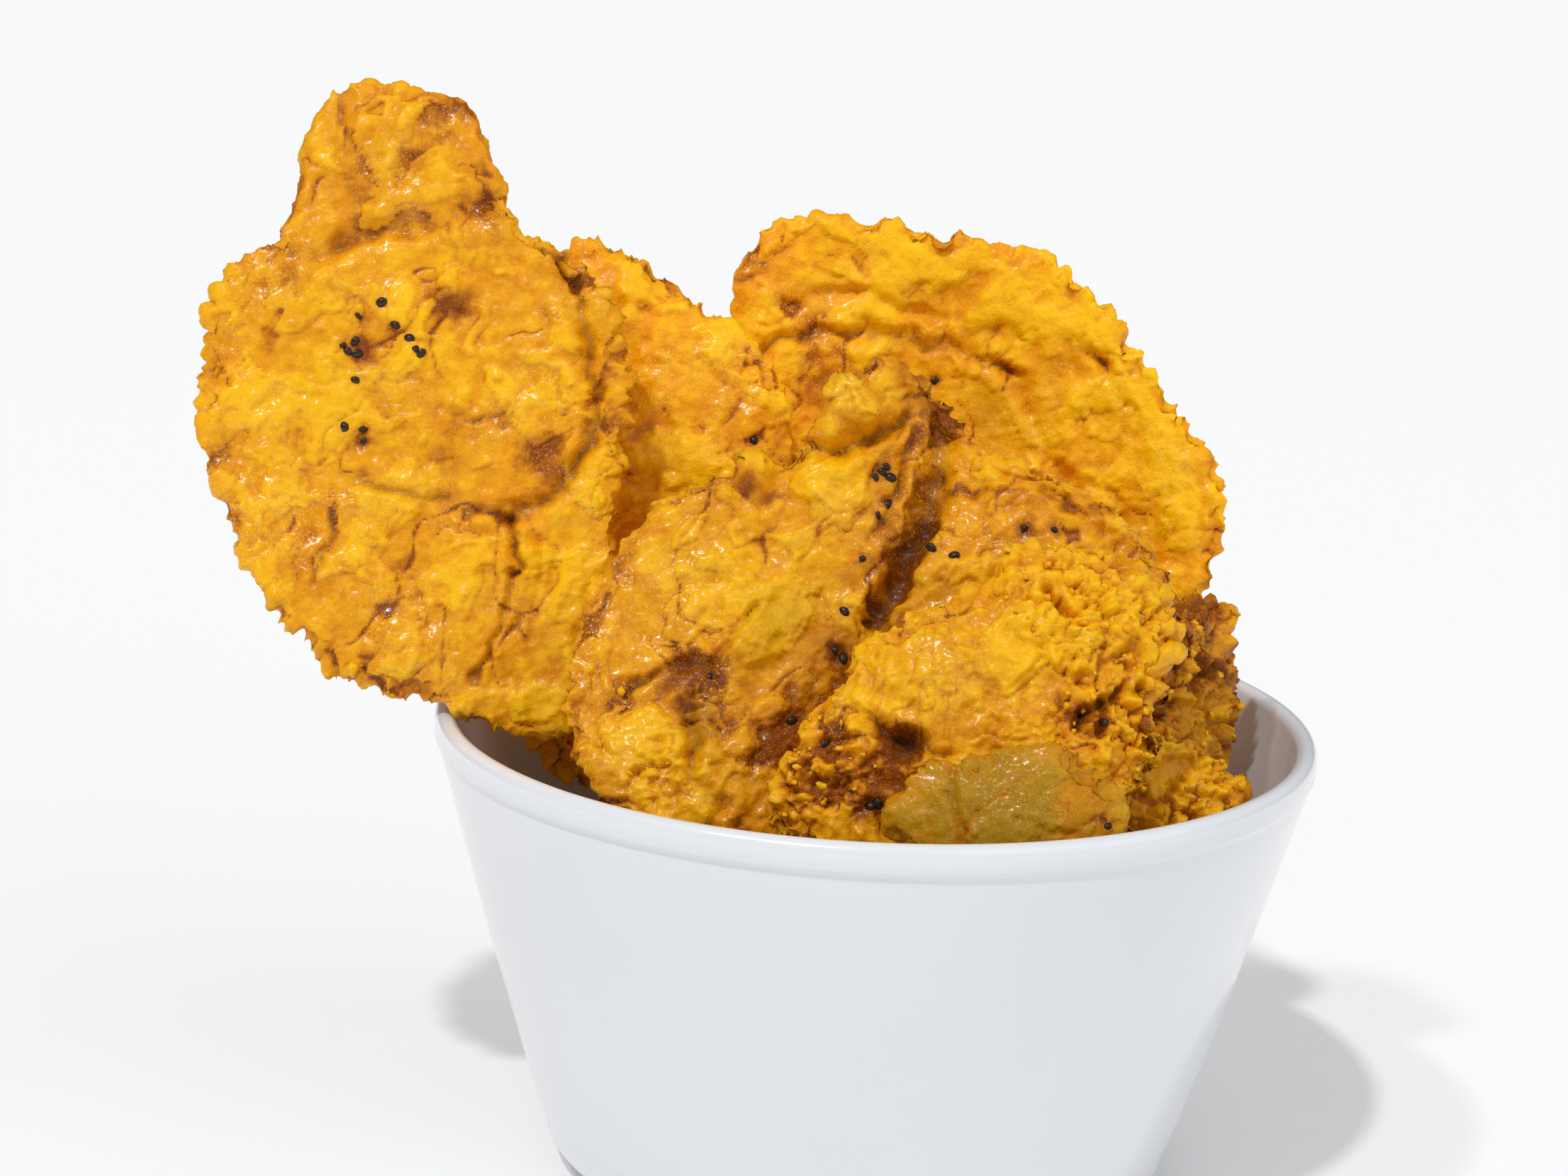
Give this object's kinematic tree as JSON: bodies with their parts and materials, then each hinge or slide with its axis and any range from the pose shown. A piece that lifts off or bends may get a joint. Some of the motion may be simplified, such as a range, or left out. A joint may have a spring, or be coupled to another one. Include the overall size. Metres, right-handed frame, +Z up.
{
  "type": "tostones in a bowl",
  "caption": "Fried, smashed green plantain discs heaped on edge in a small flared white bowl with a rounded lip and a low foot.",
  "frame": {"origin": "centre of the bowl's flat underside", "axes": "+Z up; +X to the right and -Y towards the viewer of the heap's front, where the discs' faces show"},
  "size_m": [0.154, 0.12, 0.1462],
  "materials": {
    "white_bowl": "smooth glossy white melamine, faintly cool",
    "fried_plantain": "oily golden-yellow fried plantain flesh, browned at ragged edges and in its creases, with small black seeds"
  },
  "bodies": {
    "root": {"bowl": "white_bowl", "tostone_left": "fried_plantain", "tostone_mid_left": "fried_plantain", "tostone_rear": "fried_plantain", "tostone_middle": "fried_plantain", "tostone_front_right": "fried_plantain", "tostone_front_flap": "fried_plantain", "tostone_right_edge": "fried_plantain", "tostone_right_low": "fried_plantain", "tostone_centre": "fried_plantain", "tostone_rear_low": "fried_plantain", "tostone_rear_left": "fried_plantain", "tostone_rear_right": "fried_plantain", "tostone_bottom_top": "fried_plantain", "tostone_bottom_middle": "fried_plantain", "tostone_bottom": "fried_plantain"}
  },
  "joints": []
}
